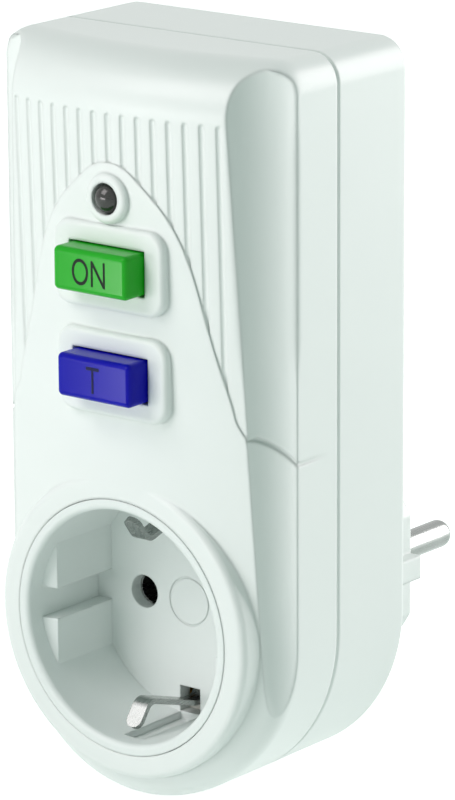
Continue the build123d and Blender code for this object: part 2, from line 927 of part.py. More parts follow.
with BuildPart() as circuit_board:
    blocks(
        board_ahead, board_front, 2 * board_half_width, board_top - board_bottom,
        [(0, (board_top + board_bottom) / 2)], corner=board_corner,
    )
    columns(
        board_ahead, board_front, board_pilot_radius + clearance, board_screw_places,
        mode=Mode.SUBTRACT,
    )
    blocks(
        board_ahead, board_front, bar_slot_width, bar_slot_tall, [transformer_center],
        mode=Mode.SUBTRACT,
    )

# Summation transformer: a ring core through two windings that stand on the board

core_inner = 6.0
core_length = 6.0
winding_gap = 4.2

with BuildPart() as transformer_core:
    core_back = board_front + (transformer_depth - core_length) / 2
    columns(core_back, core_back + core_length, core_outer, [transformer_center])
    columns(
        core_back, core_back + core_length, core_inner, [transformer_center],
        mode=Mode.SUBTRACT,
    )

with BuildPart() as transformer_winding:
    winding_front = board_front + transformer_depth
    columns(board_front, winding_front, winding_radius, [transformer_center])
    columns(
        board_front, winding_front, core_inner - winding_wall, [transformer_center],
        mode=Mode.SUBTRACT,
    )
    with BuildSketch(plane_ahead(core_back - clearance)):
        with Locations(transformer_center):
            Circle(core_outer + clearance)
            Circle(core_inner - clearance, mode=Mode.SUBTRACT)
    extrude(amount=core_length + 2 * clearance, mode=Mode.SUBTRACT)
    blocks(
        board_front, winding_front, 2 * winding_gap, 4 * core_outer, [transformer_center],
        mode=Mode.SUBTRACT,
    )

# Contact mechanism under the upper button

base_half_width = 12.5
base_thickness = 1.5
base_corner = 2.0
contact_offset = 8.0
contact_pitch = 8.8
contact_places = [
    (x, on_height + rise)
    for x in (-contact_offset, contact_offset)
    for rise in (-contact_pitch / 2, contact_pitch / 2)
]
fixed_post_size = 2.4
contact_radius = 1.2
contact_rivet = 0.6
carrier_thickness = 5.6
carrier_half_width = 12.0
carrier_tall = 11.0
carrier_corner = 0.8
carrier_spring_radius = 2.3
carrier_spring_turns = 6
bridge_thickness = 0.7
bridge_width = 3.0
guide_radius = 1.0
guide_offset = 4.6
guide_places = [(0, on_height - guide_offset), (0, on_height + guide_offset)]
base_front = board_front + base_thickness
carrier_back = carrier_front - carrier_thickness
bridge_back = carrier_back - bridge_thickness
rivet_back = bridge_back - contact_rivet
fixed_front = rivet_back - on_travel - clearance

with BuildPart() as mechanism_base:
    blocks(
        board_front, base_front, 2 * base_half_width, base_tall, [(0, on_height)],
        corner=base_corner,
    )
    blocks(
        board_front, base_front, fixed_post_size + 2 * clearance,
        fixed_post_size + 2 * clearance, contact_places, mode=Mode.SUBTRACT,
    )
    columns(base_front - base_thickness / 2, carrier_front, guide_radius, guide_places)

with BuildPart() as fixed_contacts:
    post_front = fixed_front - contact_rivet
    blocks(board_front, post_front, fixed_post_size, fixed_post_size, contact_places)
    columns(post_front, fixed_front, contact_radius, contact_places)

with BuildPart() as moving_contacts:
    blocks(
        bridge_back, carrier_back, bridge_width, carrier_tall,
        [(-contact_offset, on_height), (contact_offset, on_height)],
    )
    columns(rivet_back, bridge_back, contact_radius, contact_places)

carrier_spring = coil(
    (0, -base_front, on_height), forward, carrier_back - base_front,
    carrier_spring_radius, carrier_spring_turns,
)

# Trip relay above the mechanism: its plunger rides over the carrier's top edge

relay_x = -9.2
relay_ahead = 43.4
relay_height = 16.6
relay_plate = 1.4
relay_half_width = 5.4
relay_depth = 18.2
bobbin_radius = 5.2
bobbin_bore = 1.7
bobbin_wall = 0.5
bobbin_flange = 0.8
plunger_radius = 1.5
plunger_length = 18.3
plunger_collar_thickness = 0.8
plunger_collar_radius = 2.7
plunger_spring_space = 3.6
plunger_spring_radius = 2.1
plunger_spring_turns = 3
plunger_collar_rise = 2.7
notch_gap = 0.3
notch_depth = 1.5
carrier_top = on_height + carrier_tall / 2
plunger_tip = carrier_top + 2 * clearance
collar_top = plunger_tip + plunger_collar_rise
relay_bottom = collar_top + plunger_spring_space
relay_top = relay_bottom + relay_height
relay_front = board_front + relay_depth
relay_plane = Plane(origin=(relay_x, -relay_ahead, 0), x_dir=(1, 0, 0), z_dir=(0, 0, 1))


def upright(bottom, top, radius, mode=Mode.ADD):
    """A round shape on the relay's upright axis, between two heights."""
    with BuildSketch(relay_plane.offset(bottom)) as section:
        Circle(radius)
    extrude(section.sketch, amount=top - bottom, mode=mode)


with BuildPart() as contact_carrier:
    blocks(
        carrier_back, carrier_front, 2 * carrier_half_width, carrier_tall, [(0, on_height)],
        corner=carrier_corner,
    )
    columns(
        carrier_back, carrier_front, guide_radius + clearance, guide_places,
        mode=Mode.SUBTRACT,
    )
    # Notch that comes under the plunger when the button is pressed home
    notch_back = relay_ahead + on_travel - plunger_radius - clearance
    blocks(
        notch_back, carrier_front, 2 * (plunger_radius + notch_gap), 2 * notch_depth,
        [(relay_x, carrier_top)], mode=Mode.SUBTRACT,
    )

with BuildPart() as relay_frame:
    relay_middle = (relay_x, relay_bottom + relay_height / 2)
    blocks(board_front, relay_front, 2 * relay_half_width, relay_height, [relay_middle])
    blocks(
        board_front + relay_plate, relay_front, 2 * relay_half_width,
        relay_height - 2 * relay_plate, [relay_middle], mode=Mode.SUBTRACT,
    )
    upright(relay_bottom, relay_bottom + relay_plate, bobbin_bore, mode=Mode.SUBTRACT)

with BuildPart() as relay_bobbin:
    bobbin_bottom = relay_bottom + relay_plate
    bobbin_top = relay_top - relay_plate
    upright(bobbin_bottom, bobbin_top, bobbin_bore + bobbin_wall)
    upright(bobbin_bottom, bobbin_bottom + bobbin_flange, bobbin_radius)
    upright(bobbin_top - bobbin_flange, bobbin_top, bobbin_radius)
    upright(bobbin_bottom, bobbin_top, bobbin_bore, mode=Mode.SUBTRACT)

with BuildPart() as relay_coil:
    coil_bottom = bobbin_bottom + bobbin_flange
    coil_top = bobbin_top - bobbin_flange
    upright(coil_bottom, coil_top, bobbin_radius - bobbin_wall)
    upright(coil_bottom, coil_top, bobbin_bore + bobbin_wall, mode=Mode.SUBTRACT)

with BuildPart() as trip_plunger:
    upright(plunger_tip, plunger_tip + plunger_length, plunger_radius)
    upright(collar_top - plunger_collar_thickness, collar_top, plunger_collar_radius)

plunger_spring = coil(
    (relay_x, -relay_ahead, collar_top), (0, 0, 1), plunger_spring_space,
    plunger_spring_radius, plunger_spring_turns,
)

# Test circuit under the lower button

blade_thickness = 0.4
blade_width = 4.0
blade_foot_x = -8.0
blade_end_x = 5.6
blade_bend = 1.0
test_contact_x = 4.2
test_contact_radius = 1.0
test_contact_head = 1.6
test_contact_front = blade_front - blade_thickness - test_travel + clearance

with BuildPart() as test_blade:
    blade_ahead = blade_front - blade_thickness / 2
    with BuildSketch(Plane.XY.offset(test_height)):
        with BuildLine() as line:
            FilletPolyline(
                (blade_foot_x, -board_front),
                (blade_foot_x, -blade_ahead),
                (blade_end_x, -blade_ahead),
                radius=blade_bend,
            )
        trace(line.edges(), line_width=blade_thickness)
    extrude(amount=blade_width / 2, both=True)

with BuildPart() as test_contact:
    place = [(test_contact_x, test_height)]
    columns(board_front, test_contact_front, test_contact_radius, place)
    columns(
        test_contact_front - test_contact_radius, test_contact_front, test_contact_head, place
    )

# Components on the board

capacitor_x = -14.8
capacitor_drop = 2.0
capacitor_place = (capacitor_x, test_height - capacitor_drop)
capacitor_width = 9.0
capacitor_tall = 11.0
capacitor_depth = 8.5
capacitor_corner = 0.6
varistor_x = 14.2
varistor_drop = 3.5
varistor_place = (varistor_x, test_height - varistor_drop)
varistor_radius = 5.0
varistor_depth = 3.8
varistor_round = 1.0
chip_drop = 8.5
chip_x = (blade_foot_x + test_contact_x - test_contact_radius) / 2
chip_z = test_height - chip_drop
chip_width = 9.8
chip_tall = 6.4
chip_depth = 3.3
chip_stand = 0.5
leg_pitch = 2.54
leg_width = 0.5
leg_thickness = 0.6
leg_rise = 1.8
leg_rows = 4
resistor_x = -6.5
resistor_z = (test_height + blade_width / 2 + on_height - base_tall / 2) / 2
resistor_radius = 1.2
resistor_length = 6.5
diode_x = 3.0
diode_pitch_x = 6.0
diode_pitch_z = 2.6
diode_radius = 0.9
diode_length = 4.0


def barrel(x, z, radius, length):
    """A small round component that lies on the board along X."""
    with BuildSketch(Plane.YZ.offset(x)) as section:
        with Locations((-(board_front + radius), z)):
            Circle(radius)
    extrude(section.sketch, amount=length)


with BuildPart() as filter_capacitor:
    blocks(
        board_front, board_front + capacitor_depth, capacitor_width, capacitor_tall,
        [capacitor_place], corner=capacitor_corner,
    )

with BuildPart() as varistor:
    columns(board_front, board_front + varistor_depth, varistor_radius, [varistor_place])
    fillet(varistor.edges().filter_by(GeomType.CIRCLE), varistor_round)

with BuildPart() as control_chip:
    chip_back = board_front + chip_stand
    blocks(chip_back, chip_back + chip_depth, chip_width, chip_tall, [(chip_x, chip_z)])
    leg_z = (chip_tall + leg_thickness) / 2
    for row in range(leg_rows):
        leg_x = chip_x + (row - (leg_rows - 1) / 2) * leg_pitch
        leg_places = [(leg_x, chip_z - leg_z), (leg_x, chip_z + leg_z)]
        blocks(board_front, chip_back + leg_rise, leg_width, leg_thickness, leg_places)

with BuildPart() as test_resistor:
    barrel(resistor_x, resistor_z, resistor_radius, resistor_length)

with BuildPart() as rectifier_diodes:
    for x in (diode_x, diode_x + diode_pitch_x):
        for z in (resistor_z - diode_pitch_z / 2, resistor_z + diode_pitch_z / 2):
            barrel(x, z, diode_radius, diode_length)

# Screws


def screw_set(seat, head_length, head_radius, shank_length, shank_radius, places, facing):
    """Screws seated at a distance ahead; facing is 1 with heads in front, -1 behind."""
    head_end = seat + facing * head_length
    shank_end = seat - facing * shank_length
    slot_floor = seat + facing * head_length / 2
    columns(min(seat, head_end), max(seat, head_end), head_radius, places)
    columns(min(seat, shank_end), max(seat, shank_end), shank_radius, places)
    low, high = min(slot_floor, head_end), max(slot_floor, head_end)
    blocks(low, high, head_radius, head_length / 3, places, mode=Mode.SUBTRACT)
    blocks(low, high, head_length / 3, head_radius, places, mode=Mode.SUBTRACT)


housing_screw_grip = 6.5
board_screw_head_radius = 2.2
board_screw_head_length = 1.4
board_screw_grip = 3.0

with BuildPart() as housing_screws:
    screw_set(
        back_ahead + screw_recess, screw_head_length, screw_head_radius,
        housing_depth - screw_recess + housing_screw_grip, screw_shank_radius,
        screw_places, facing=-1,
    )

with BuildPart() as frame_screws:
    screw_set(
        frame_ahead - frame_thickness, frame_screw_head_length, frame_screw_head_radius,
        frame_thickness + frame_screw_grip, frame_screw_radius, frame_screw_places,
        facing=-1,
    )

with BuildPart() as board_screws:
    screw_set(
        board_front, board_screw_head_length, board_screw_head_radius,
        board_thickness + board_screw_grip, board_pilot_radius - clearance / 2,
        board_screw_places, facing=1,
    )

# Label and write every piece

pieces = {
    "front_cover": front_cover.part,
    "rear_housing": rear_housing.part,
    "socket_insert": socket_insert.part,
    "on_button": on_button,
    "test_button": test_button,
    "button_frame": button_frame.part,
    "on_button_spring": on_button_spring,
    "test_button_spring": test_button_spring,
    "led": led.part,
    "led_leads": led_leads.part,
    "neutral_pin": neutral_pin,
    "line_pin": line_pin,
    "pin_retainer": pin_retainer.part,
    "plug_earth_contact_upper": plug_earth_contact_upper,
    "plug_earth_contact_lower": plug_earth_contact_lower,
    "socket_earth_clip_upper": socket_earth_clip_upper,
    "socket_earth_clip_lower": socket_earth_clip_lower,
    "earth_strap": earth_strap.part,
    "contact_holder": contact_holder.part,
    "neutral_socket_contact": neutral_socket_contact,
    "line_socket_contact": line_socket_contact,
    "neutral_load_bar": neutral_load_bar,
    "line_load_bar": line_load_bar,
    "neutral_supply_bar": neutral_supply_bar,
    "line_supply_bar": line_supply_bar,
    "circuit_board": circuit_board.part,
    "transformer_core": transformer_core.part,
    "transformer_winding": transformer_winding.part,
    "mechanism_base": mechanism_base.part,
    "fixed_contacts": fixed_contacts.part,
    "moving_contacts": moving_contacts.part,
    "contact_carrier": contact_carrier.part,
    "carrier_spring": carrier_spring,
    "relay_frame": relay_frame.part,
    "relay_bobbin": relay_bobbin.part,
    "relay_coil": relay_coil.part,
    "trip_plunger": trip_plunger.part,
    "plunger_spring": plunger_spring,
    "test_blade": test_blade.part,
    "test_contact": test_contact.part,
    "filter_capacitor": filter_capacitor.part,
    "varistor": varistor.part,
    "control_chip": control_chip.part,
    "test_resistor": test_resistor.part,
    "rectifier_diodes": rectifier_diodes.part,
    "housing_screws": housing_screws.part,
    "frame_screws": frame_screws.part,
    "board_screws": board_screws.part,
}

for name, piece in pieces.items():
    piece.label = name
    export_step(piece, f"parts/{name}.step")
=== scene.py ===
"""Looks of a residual-current adapter plug: moulded shells, two buttons, a lens and contacts.

Lengths in the classes are millimetres. The frame is in metres: +X to the right seen from the
front, +Y back into the wall, +Z up, origin at the centre of the plug's engagement face.
"""
import json
import logging
import math
from dataclasses import dataclass
from enum import Enum

import bpy
from mathutils import Matrix, Vector


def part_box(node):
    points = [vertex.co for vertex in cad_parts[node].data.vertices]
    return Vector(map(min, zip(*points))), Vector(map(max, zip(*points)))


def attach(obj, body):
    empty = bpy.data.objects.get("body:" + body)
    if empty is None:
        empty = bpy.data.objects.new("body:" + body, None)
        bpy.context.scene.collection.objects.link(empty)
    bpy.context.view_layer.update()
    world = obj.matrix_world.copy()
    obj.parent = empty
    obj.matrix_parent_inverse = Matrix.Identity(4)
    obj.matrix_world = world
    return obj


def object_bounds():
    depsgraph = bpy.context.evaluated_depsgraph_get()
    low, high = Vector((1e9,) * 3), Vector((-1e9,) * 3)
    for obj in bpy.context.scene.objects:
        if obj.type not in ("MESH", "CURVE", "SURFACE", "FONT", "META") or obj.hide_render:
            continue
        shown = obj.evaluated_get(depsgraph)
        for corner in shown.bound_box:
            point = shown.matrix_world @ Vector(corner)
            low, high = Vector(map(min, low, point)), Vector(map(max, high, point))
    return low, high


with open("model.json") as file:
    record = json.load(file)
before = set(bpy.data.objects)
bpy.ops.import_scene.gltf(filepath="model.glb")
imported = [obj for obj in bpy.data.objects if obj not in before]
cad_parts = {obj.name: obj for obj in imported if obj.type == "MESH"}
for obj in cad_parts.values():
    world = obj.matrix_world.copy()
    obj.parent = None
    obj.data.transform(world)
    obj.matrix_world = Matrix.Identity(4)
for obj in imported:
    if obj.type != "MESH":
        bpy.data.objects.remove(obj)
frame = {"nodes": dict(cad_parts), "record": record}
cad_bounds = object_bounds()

log = logging.getLogger("adapter_plug")

MM = 0.001
PHOTO_HEIGHT = 800
WAVES_PER_UNIT = math.pi / 10


def linear(hex_colour: str) -> tuple[float, float, float, float]:
    """Turns an sRGB hex colour into linear RGBA.

    Args:
        hex_colour: A colour such as "#E9EFEC".

    Returns:
        Red, green, blue and alpha as Blender's sockets take them.
    """
    digits = hex_colour.lstrip("#")
    channels = [int(digits[i:i + 2], 16) / 255 for i in (0, 2, 4)]
    values = [c / 12.92 if c <= 0.04045 else ((c + 0.055) / 1.055) ** 2.4 for c in channels]
    return (*values, 1.0)


def add_node(
    tree: bpy.types.NodeTree, kind: str, settings: dict | None = None, inputs: dict | None = None
) -> bpy.types.Node:
    """Adds one node, sets its properties, and fills or links its inputs.

    Args:
        tree: The node tree that gets the node.
        kind: The node's type name.
        settings: Node properties by name.
        inputs: Values or output sockets by input name or index.

    Returns:
        The new node.
    """
    node = tree.nodes.new(kind)
    for name, value in (settings or {}).items():
        setattr(node, name, value)
    for name, value in (inputs or {}).items():
        if isinstance(value, bpy.types.NodeSocket):
            tree.links.new(value, node.inputs[name])
        else:
            node.inputs[name].default_value = value
    return node


def new_tree(name: str) -> tuple[bpy.types.Material, bpy.types.NodeTree]:
    """Makes an empty node material.

    Args:
        name: The material's name.

    Returns:
        The material and its node tree.
    """
    material = bpy.data.materials.new(name)
    material.use_nodes = True
    material.node_tree.nodes.clear()
    return material, material.node_tree


def close_tree(tree: bpy.types.NodeTree, shader: bpy.types.Node) -> None:
    """Links a shader to the material's output.

    Args:
        tree: The node tree to finish.
        shader: The node whose first output is the surface.
    """
    add_node(tree, "ShaderNodeOutputMaterial", inputs={"Surface": shader.outputs[0]})


def noise_scale(feature_mm: float) -> float:
    """Scale of a texture on coordinates in metres, for features of a real size.

    Args:
        feature_mm: Size of one feature in millimetres.

    Returns:
        The value for a texture's Scale input.
    """
    return 1 / (feature_mm * MM)


@dataclass(frozen=True)
class MouldedPlastic:
    """ABS or similar, injection moulded: a soft sheen over a fine spark-eroded grain."""

    name: str
    colour: str
    shade: str
    roughness: float = 0.36
    smoother: float = 0.05
    rougher: float = 0.06
    specular: float = 0.5
    ior: float = 1.53
    grain_mm: float = 0.35
    grain_height_mm: float = 0.004
    grain_strength: float = 0.5
    cloud_mm: float = 18.0
    edge_mm: float = 0.25

    def edge_radius(
        self, tree: bpy.types.NodeTree, place: bpy.types.NodeSocket
    ) -> bpy.types.NodeSocket | float:
        """Gives the radius in metres that softens the edges, here the same all over."""
        return self.edge_mm * MM

    def build(self) -> bpy.types.Material:
        """Builds the node material.

        Returns:
            The material.
        """
        material, tree = new_tree(self.name)
        place = add_node(tree, "ShaderNodeTexCoord").outputs["Object"]
        cloud = add_node(
            tree, "ShaderNodeTexNoise",
            inputs={"Vector": place, "Scale": noise_scale(self.cloud_mm), "Detail": 3.0},
        )
        grain = add_node(
            tree, "ShaderNodeTexNoise",
            inputs={"Vector": place, "Scale": noise_scale(self.grain_mm), "Detail": 2.0},
        )
        # Flow of the melt leaves the faintest clouding in the colour
        tint = add_node(
            tree, "ShaderNodeMix", {"data_type": "RGBA"},
            {0: cloud.outputs["Fac"], 6: linear(self.colour), 7: linear(self.shade)},
        )
        # The grain breaks up the sheen
        gloss = add_node(
            tree, "ShaderNodeMapRange",
            inputs={
                "Value": grain.outputs["Fac"], "To Min": self.roughness - self.smoother,
                "To Max": self.roughness + self.rougher,
            },
        )
        edge = add_node(
            tree, "ShaderNodeBevel", {"samples": 6}, {"Radius": self.edge_radius(tree, place)}
        )
        bump = add_node(
            tree, "ShaderNodeBump",
            inputs={
                "Height": grain.outputs["Fac"], "Strength": self.grain_strength,
                "Distance": self.grain_height_mm * MM, "Normal": edge.outputs["Normal"],
            },
        )
        shader = add_node(
            tree, "ShaderNodeBsdfPrincipled",
            inputs={
                "Base Color": tint.outputs[2], "Roughness": gloss.outputs["Result"],
                "IOR": self.ior, "Specular IOR Level": self.specular,
                "Normal": bump.outputs["Normal"],
            },
        )
        close_tree(tree, shader)
        return material


@dataclass(frozen=True)
class FlutedShell(MouldedPlastic):
    """Moulded shell whose mould was polished soft along the flutes' edges.

    Each span is a place along one axis where the softening starts and where it is full.
    """

    edge_mm: float = 0.8
    flute_edge_mm: float = 2.0
    flute_top_edge_mm: float = 1.3
    across_span: tuple[float, float] = (20.5, 22.5)
    ahead_span: tuple[float, float] = (-40.0, -43.0)
    foot_span: tuple[float, float] = (42.0, 52.0)
    top_span: tuple[float, float] = (78.0, 88.0)

    def edge_radius(
        self, tree: bpy.types.NodeTree, place: bpy.types.NodeSocket
    ) -> bpy.types.NodeSocket | float:
        """Gives the radius that softens the edges, wider down the flutes.

        Args:
            tree: The node tree of the material.
            place: The object's coordinates.

        Returns:
            The radius in metres, as a socket.
        """
        axes = add_node(tree, "ShaderNodeSeparateXYZ", inputs={0: place}).outputs
        across = add_node(tree, "ShaderNodeMath", {"operation": "ABSOLUTE"}, {0: axes["X"]})
        radius = self.flute_top_edge_mm * MM
        for value, span, outside_mm in (
            (axes["Z"], self.top_span, self.flute_edge_mm),
            (axes["Z"], self.foot_span, self.edge_mm),
            (axes["Y"], self.ahead_span, self.edge_mm),
            (across.outputs[0], self.across_span, self.edge_mm),
        ):
            radius = add_node(
                tree, "ShaderNodeMapRange", {"interpolation_type": "SMOOTHSTEP"},
                {
                    "Value": value, "From Min": span[0] * MM, "From Max": span[1] * MM,
                    "To Min": outside_mm * MM, "To Max": radius,
                },
            ).outputs[0]
        return radius


@dataclass(frozen=True)
class Metal:
    """Rolled or plated metal: streaks from rolling or drawing, a little tarnish in clouds."""

    name: str
    colour: str
    tarnish: str
    roughness: float = 0.26
    smoother: float = 0.08
    rougher: float = 0.14
    streak_mm: float = 0.5
    streak_stretch: float = 0.08
    streak_height_mm: float = 0.006
    streak_strength: float = 0.35
    cloud_mm: float = 6.0
    edge_mm: float = 0.08

    def build(self) -> bpy.types.Material:
        """Builds the node material.

        Returns:
            The material.
        """
        material, tree = new_tree(self.name)
        place = add_node(tree, "ShaderNodeTexCoord").outputs["Object"]
        stretched = add_node(
            tree, "ShaderNodeMapping",
            inputs={"Vector": place, "Scale": (1.0, self.streak_stretch, 1.0)},
        )
        streak = add_node(
            tree, "ShaderNodeTexNoise",
            inputs={
                "Vector": stretched.outputs[0], "Scale": noise_scale(self.streak_mm), "Detail": 4.0,
            },
        )
        cloud = add_node(
            tree, "ShaderNodeTexNoise",
            inputs={"Vector": place, "Scale": noise_scale(self.cloud_mm), "Detail": 3.0},
        )
        tint = add_node(
            tree, "ShaderNodeMix", {"data_type": "RGBA"},
            {0: cloud.outputs["Fac"], 6: linear(self.colour), 7: linear(self.tarnish)},
        )
        gloss = add_node(
            tree, "ShaderNodeMapRange",
            inputs={
                "Value": streak.outputs["Fac"], "To Min": self.roughness - self.smoother,
                "To Max": self.roughness + self.rougher,
            },
        )
        edge = add_node(tree, "ShaderNodeBevel", {"samples": 4}, {"Radius": self.edge_mm * MM})
        bump = add_node(
            tree, "ShaderNodeBump",
            inputs={
                "Height": streak.outputs["Fac"], "Strength": self.streak_strength,
                "Distance": self.streak_height_mm * MM, "Normal": edge.outputs["Normal"],
            },
        )
        shader = add_node(
            tree, "ShaderNodeBsdfPrincipled",
            inputs={
                "Base Color": tint.outputs[2], "Roughness": gloss.outputs["Result"],
                "Metallic": 1.0, "Normal": bump.outputs["Normal"],
            },
        )
        close_tree(tree, shader)
        return material


@dataclass(frozen=True)
class Winding:
    """Enamelled copper wire wound in close turns, which show as fine ridges."""

    name: str
    colour: str
    # Colour painted between the turns as shade in the grooves
    painted_gap_shade: str
    pitch_mm: float = 0.5
    ridge_mm: float = 0.1
    ridge_strength: float = 0.8
    waver: float = 0.4
    metallic: float = 0.7
    roughness: float = 0.3
    enamel: float = 0.4

    def build(self) -> bpy.types.Material:
        """Builds the node material.

        Returns:
            The material.
        """
        material, tree = new_tree(self.name)
        place = add_node(tree, "ShaderNodeTexCoord").outputs["Object"]
        turns = add_node(
            tree, "ShaderNodeTexWave", {"bands_direction": "Z"},
            {
                "Vector": place, "Scale": WAVES_PER_UNIT * noise_scale(self.pitch_mm),
                "Distortion": self.waver,
            },
        )
        # The darker colour between the turns is painted shade in the grooves; the ridges themselves
        # come from the bump
        tint = add_node(
            tree, "ShaderNodeMix", {"data_type": "RGBA"},
            {0: turns.outputs["Fac"], 6: linear(self.painted_gap_shade), 7: linear(self.colour)},
        )
        bump = add_node(
            tree, "ShaderNodeBump",
            inputs={
                "Height": turns.outputs["Fac"], "Strength": self.ridge_strength,
                "Distance": self.ridge_mm * MM,
            },
        )
        shader = add_node(
            tree, "ShaderNodeBsdfPrincipled",
            inputs={
                "Base Color": tint.outputs[2], "Metallic": self.metallic,
                "Roughness": self.roughness, "Normal": bump.outputs["Normal"],
                "Coat Weight": self.enamel,
            },
        )
        close_tree(tree, shader)
        return material


@dataclass(frozen=True)
class SmokedLens:
    """Tinted epoxy cast round a die: dark, polished, and clear enough to hold a highlight."""

    name: str
    colour: str
    roughness: float = 0.12
    rougher: float = 0.06
    haze_mm: float = 0.8
    ior: float = 1.5
    transmission: float = 0.35

    def build(self) -> bpy.types.Material:
        """Builds the node material.

        Returns:
            The material.
        """
        material, tree = new_tree(self.name)
        place = add_node(tree, "ShaderNodeTexCoord").outputs["Object"]
        haze = add_node(
            tree, "ShaderNodeTexNoise",
            inputs={"Vector": place, "Scale": noise_scale(self.haze_mm), "Detail": 2.0},
        )
        gloss = add_node(
            tree, "ShaderNodeMapRange",
            inputs={
                "Value": haze.outputs["Fac"], "To Min": self.roughness,
                "To Max": self.roughness + self.rougher,
            },
        )
        shader = add_node(
            tree, "ShaderNodeBsdfPrincipled",
            inputs={
                "Base Color": linear(self.colour), "Roughness": gloss.outputs["Result"],
                "IOR": self.ior, "Transmission Weight": self.transmission,
            },
        )
        close_tree(tree, shader)
        return material


@dataclass(frozen=True)
class PrintInk:
    """Pad-printed ink: thin, matt and a little uneven where the pad lifted."""

    name: str
    colour: str
    thin: str
    roughness: float = 0.6
    specular: float = 0.2
    patch_mm: float = 0.6

    def build(self) -> bpy.types.Material:
        """Builds the node material.

        Returns:
            The material.
        """
        material, tree = new_tree(self.name)
        place = add_node(tree, "ShaderNodeTexCoord").outputs["Object"]
        patch = add_node(
            tree, "ShaderNodeTexNoise",
            inputs={"Vector": place, "Scale": noise_scale(self.patch_mm), "Detail": 4.0},
        )
        tint = add_node(
            tree, "ShaderNodeMix", {"data_type": "RGBA"},
            {0: patch.outputs["Fac"], 6: linear(self.colour), 7: linear(self.thin)},
        )
        shader = add_node(
            tree, "ShaderNodeBsdfPrincipled",
            inputs={
                "Base Color": tint.outputs[2], "Roughness": self.roughness,
                "Specular IOR Level": self.specular,
            },
        )
        close_tree(tree, shader)
        return material


class Finish(Enum):
    """Every finish of the adapter, each built once."""

    SHELL = FlutedShell("white_abs_shell", "#E9EDEB", "#E5EAE8")
    INSERT = MouldedPlastic(
        "white_polyamide_insert", "#E6EBE9", "#E1E7E5", roughness=0.42, edge_mm=0.4
    )
    INNER = MouldedPlastic(
        "natural_polyamide_frame", "#D9D8D0", "#CFCEC5", roughness=0.5, grain_mm=0.6
    )
    GREEN = MouldedPlastic(
        "green_abs_button", "#16AC1A", "#13A216", roughness=0.14, edge_mm=0.2, specular=0.16
    )
    BLUE = MouldedPlastic(
        "blue_abs_button", "#0404AA", "#0303A0", roughness=0.14, edge_mm=0.2, specular=0.1
    )
    LENS = SmokedLens("smoked_epoxy_lens", "#3A3C38")
    NICKEL = Metal(
        "nickel_plated_brass", "#A3A7A5", "#929693", roughness=0.24, streak_height_mm=0.0015
    )
    BRASS = Metal("stamped_brass", "#D2AE62", "#B08A45", roughness=0.32)
    SPRING = Metal("drawn_spring_steel", "#B9BABD", "#9EA0A4", roughness=0.3)
    STEEL = Metal("zinc_plated_steel", "#C2C4C8", "#A9ABAF", roughness=0.34)
    BOARD = MouldedPlastic(
        "glass_epoxy_board", "#2C6B3A", "#255E33", roughness=0.4, grain_mm=0.9
    )
    FERRITE = MouldedPlastic(
        "sintered_ferrite", "#2B2B2E", "#222225", roughness=0.6, grain_mm=0.5
    )
    WIRE = Winding("relay_coil_wire", "#B5673A", "#6B3A1E")
    CAPACITOR = MouldedPlastic("moulded_capacitor_case", "#D0AA22", "#C49E1C", roughness=0.4)
    VARISTOR = MouldedPlastic(
        "dipped_epoxy_disc", "#2B4078", "#26396C", roughness=0.35, grain_mm=1.2
    )
    CHIP = MouldedPlastic(
        "moulded_chip_epoxy", "#1C1C1E", "#161618", roughness=0.55, grain_mm=0.2
    )
    INK = PrintInk("dark_print", "#0D1A10", "#16241A")
    INK_ON_BLUE = PrintInk("dark_print_on_blue", "#14163C", "#1B1D46")

    def material(self) -> bpy.types.Material:
        """Returns the finish's material, built at first use."""
        found = bpy.data.materials.get(self.value.name)
        return found or self.value.build()


FINISH_OF_SLOT = {
    "cover_plastic": Finish.SHELL,
    "housing_plastic": Finish.SHELL,
    "insert_plastic": Finish.INSERT,
    "inner_plastic": Finish.INNER,
    "green_button": Finish.GREEN,
    "blue_button": Finish.BLUE,
    "indicator_lens": Finish.LENS,
    "plated_metal": Finish.NICKEL,
    "brass": Finish.BRASS,
    "spring_steel": Finish.SPRING,
    "relay_steel": Finish.STEEL,
    "board_laminate": Finish.BOARD,
    "ferrite": Finish.FERRITE,
    "copper_winding": Finish.WIRE,
    "capacitor_case": Finish.CAPACITOR,
    "varistor_coating": Finish.VARISTOR,
    "chip_epoxy": Finish.CHIP,
}


def dress(obj: bpy.types.Object, finish: Finish) -> None:
    """Gives an object one finish.

    Args:
        obj: A mesh object.
        finish: The finish to use.
    """
    obj.data.materials.clear()
    obj.data.materials.append(finish.material())


def dress_carried_nodes() -> None:
    """Dresses every CAD node by its slot in the record."""
    for part in frame["record"]["subparts"]:
        dress(frame["nodes"][part["node"]], FINISH_OF_SLOT[part["material_slot"]])
        log.info("dressed %s", part["node"])


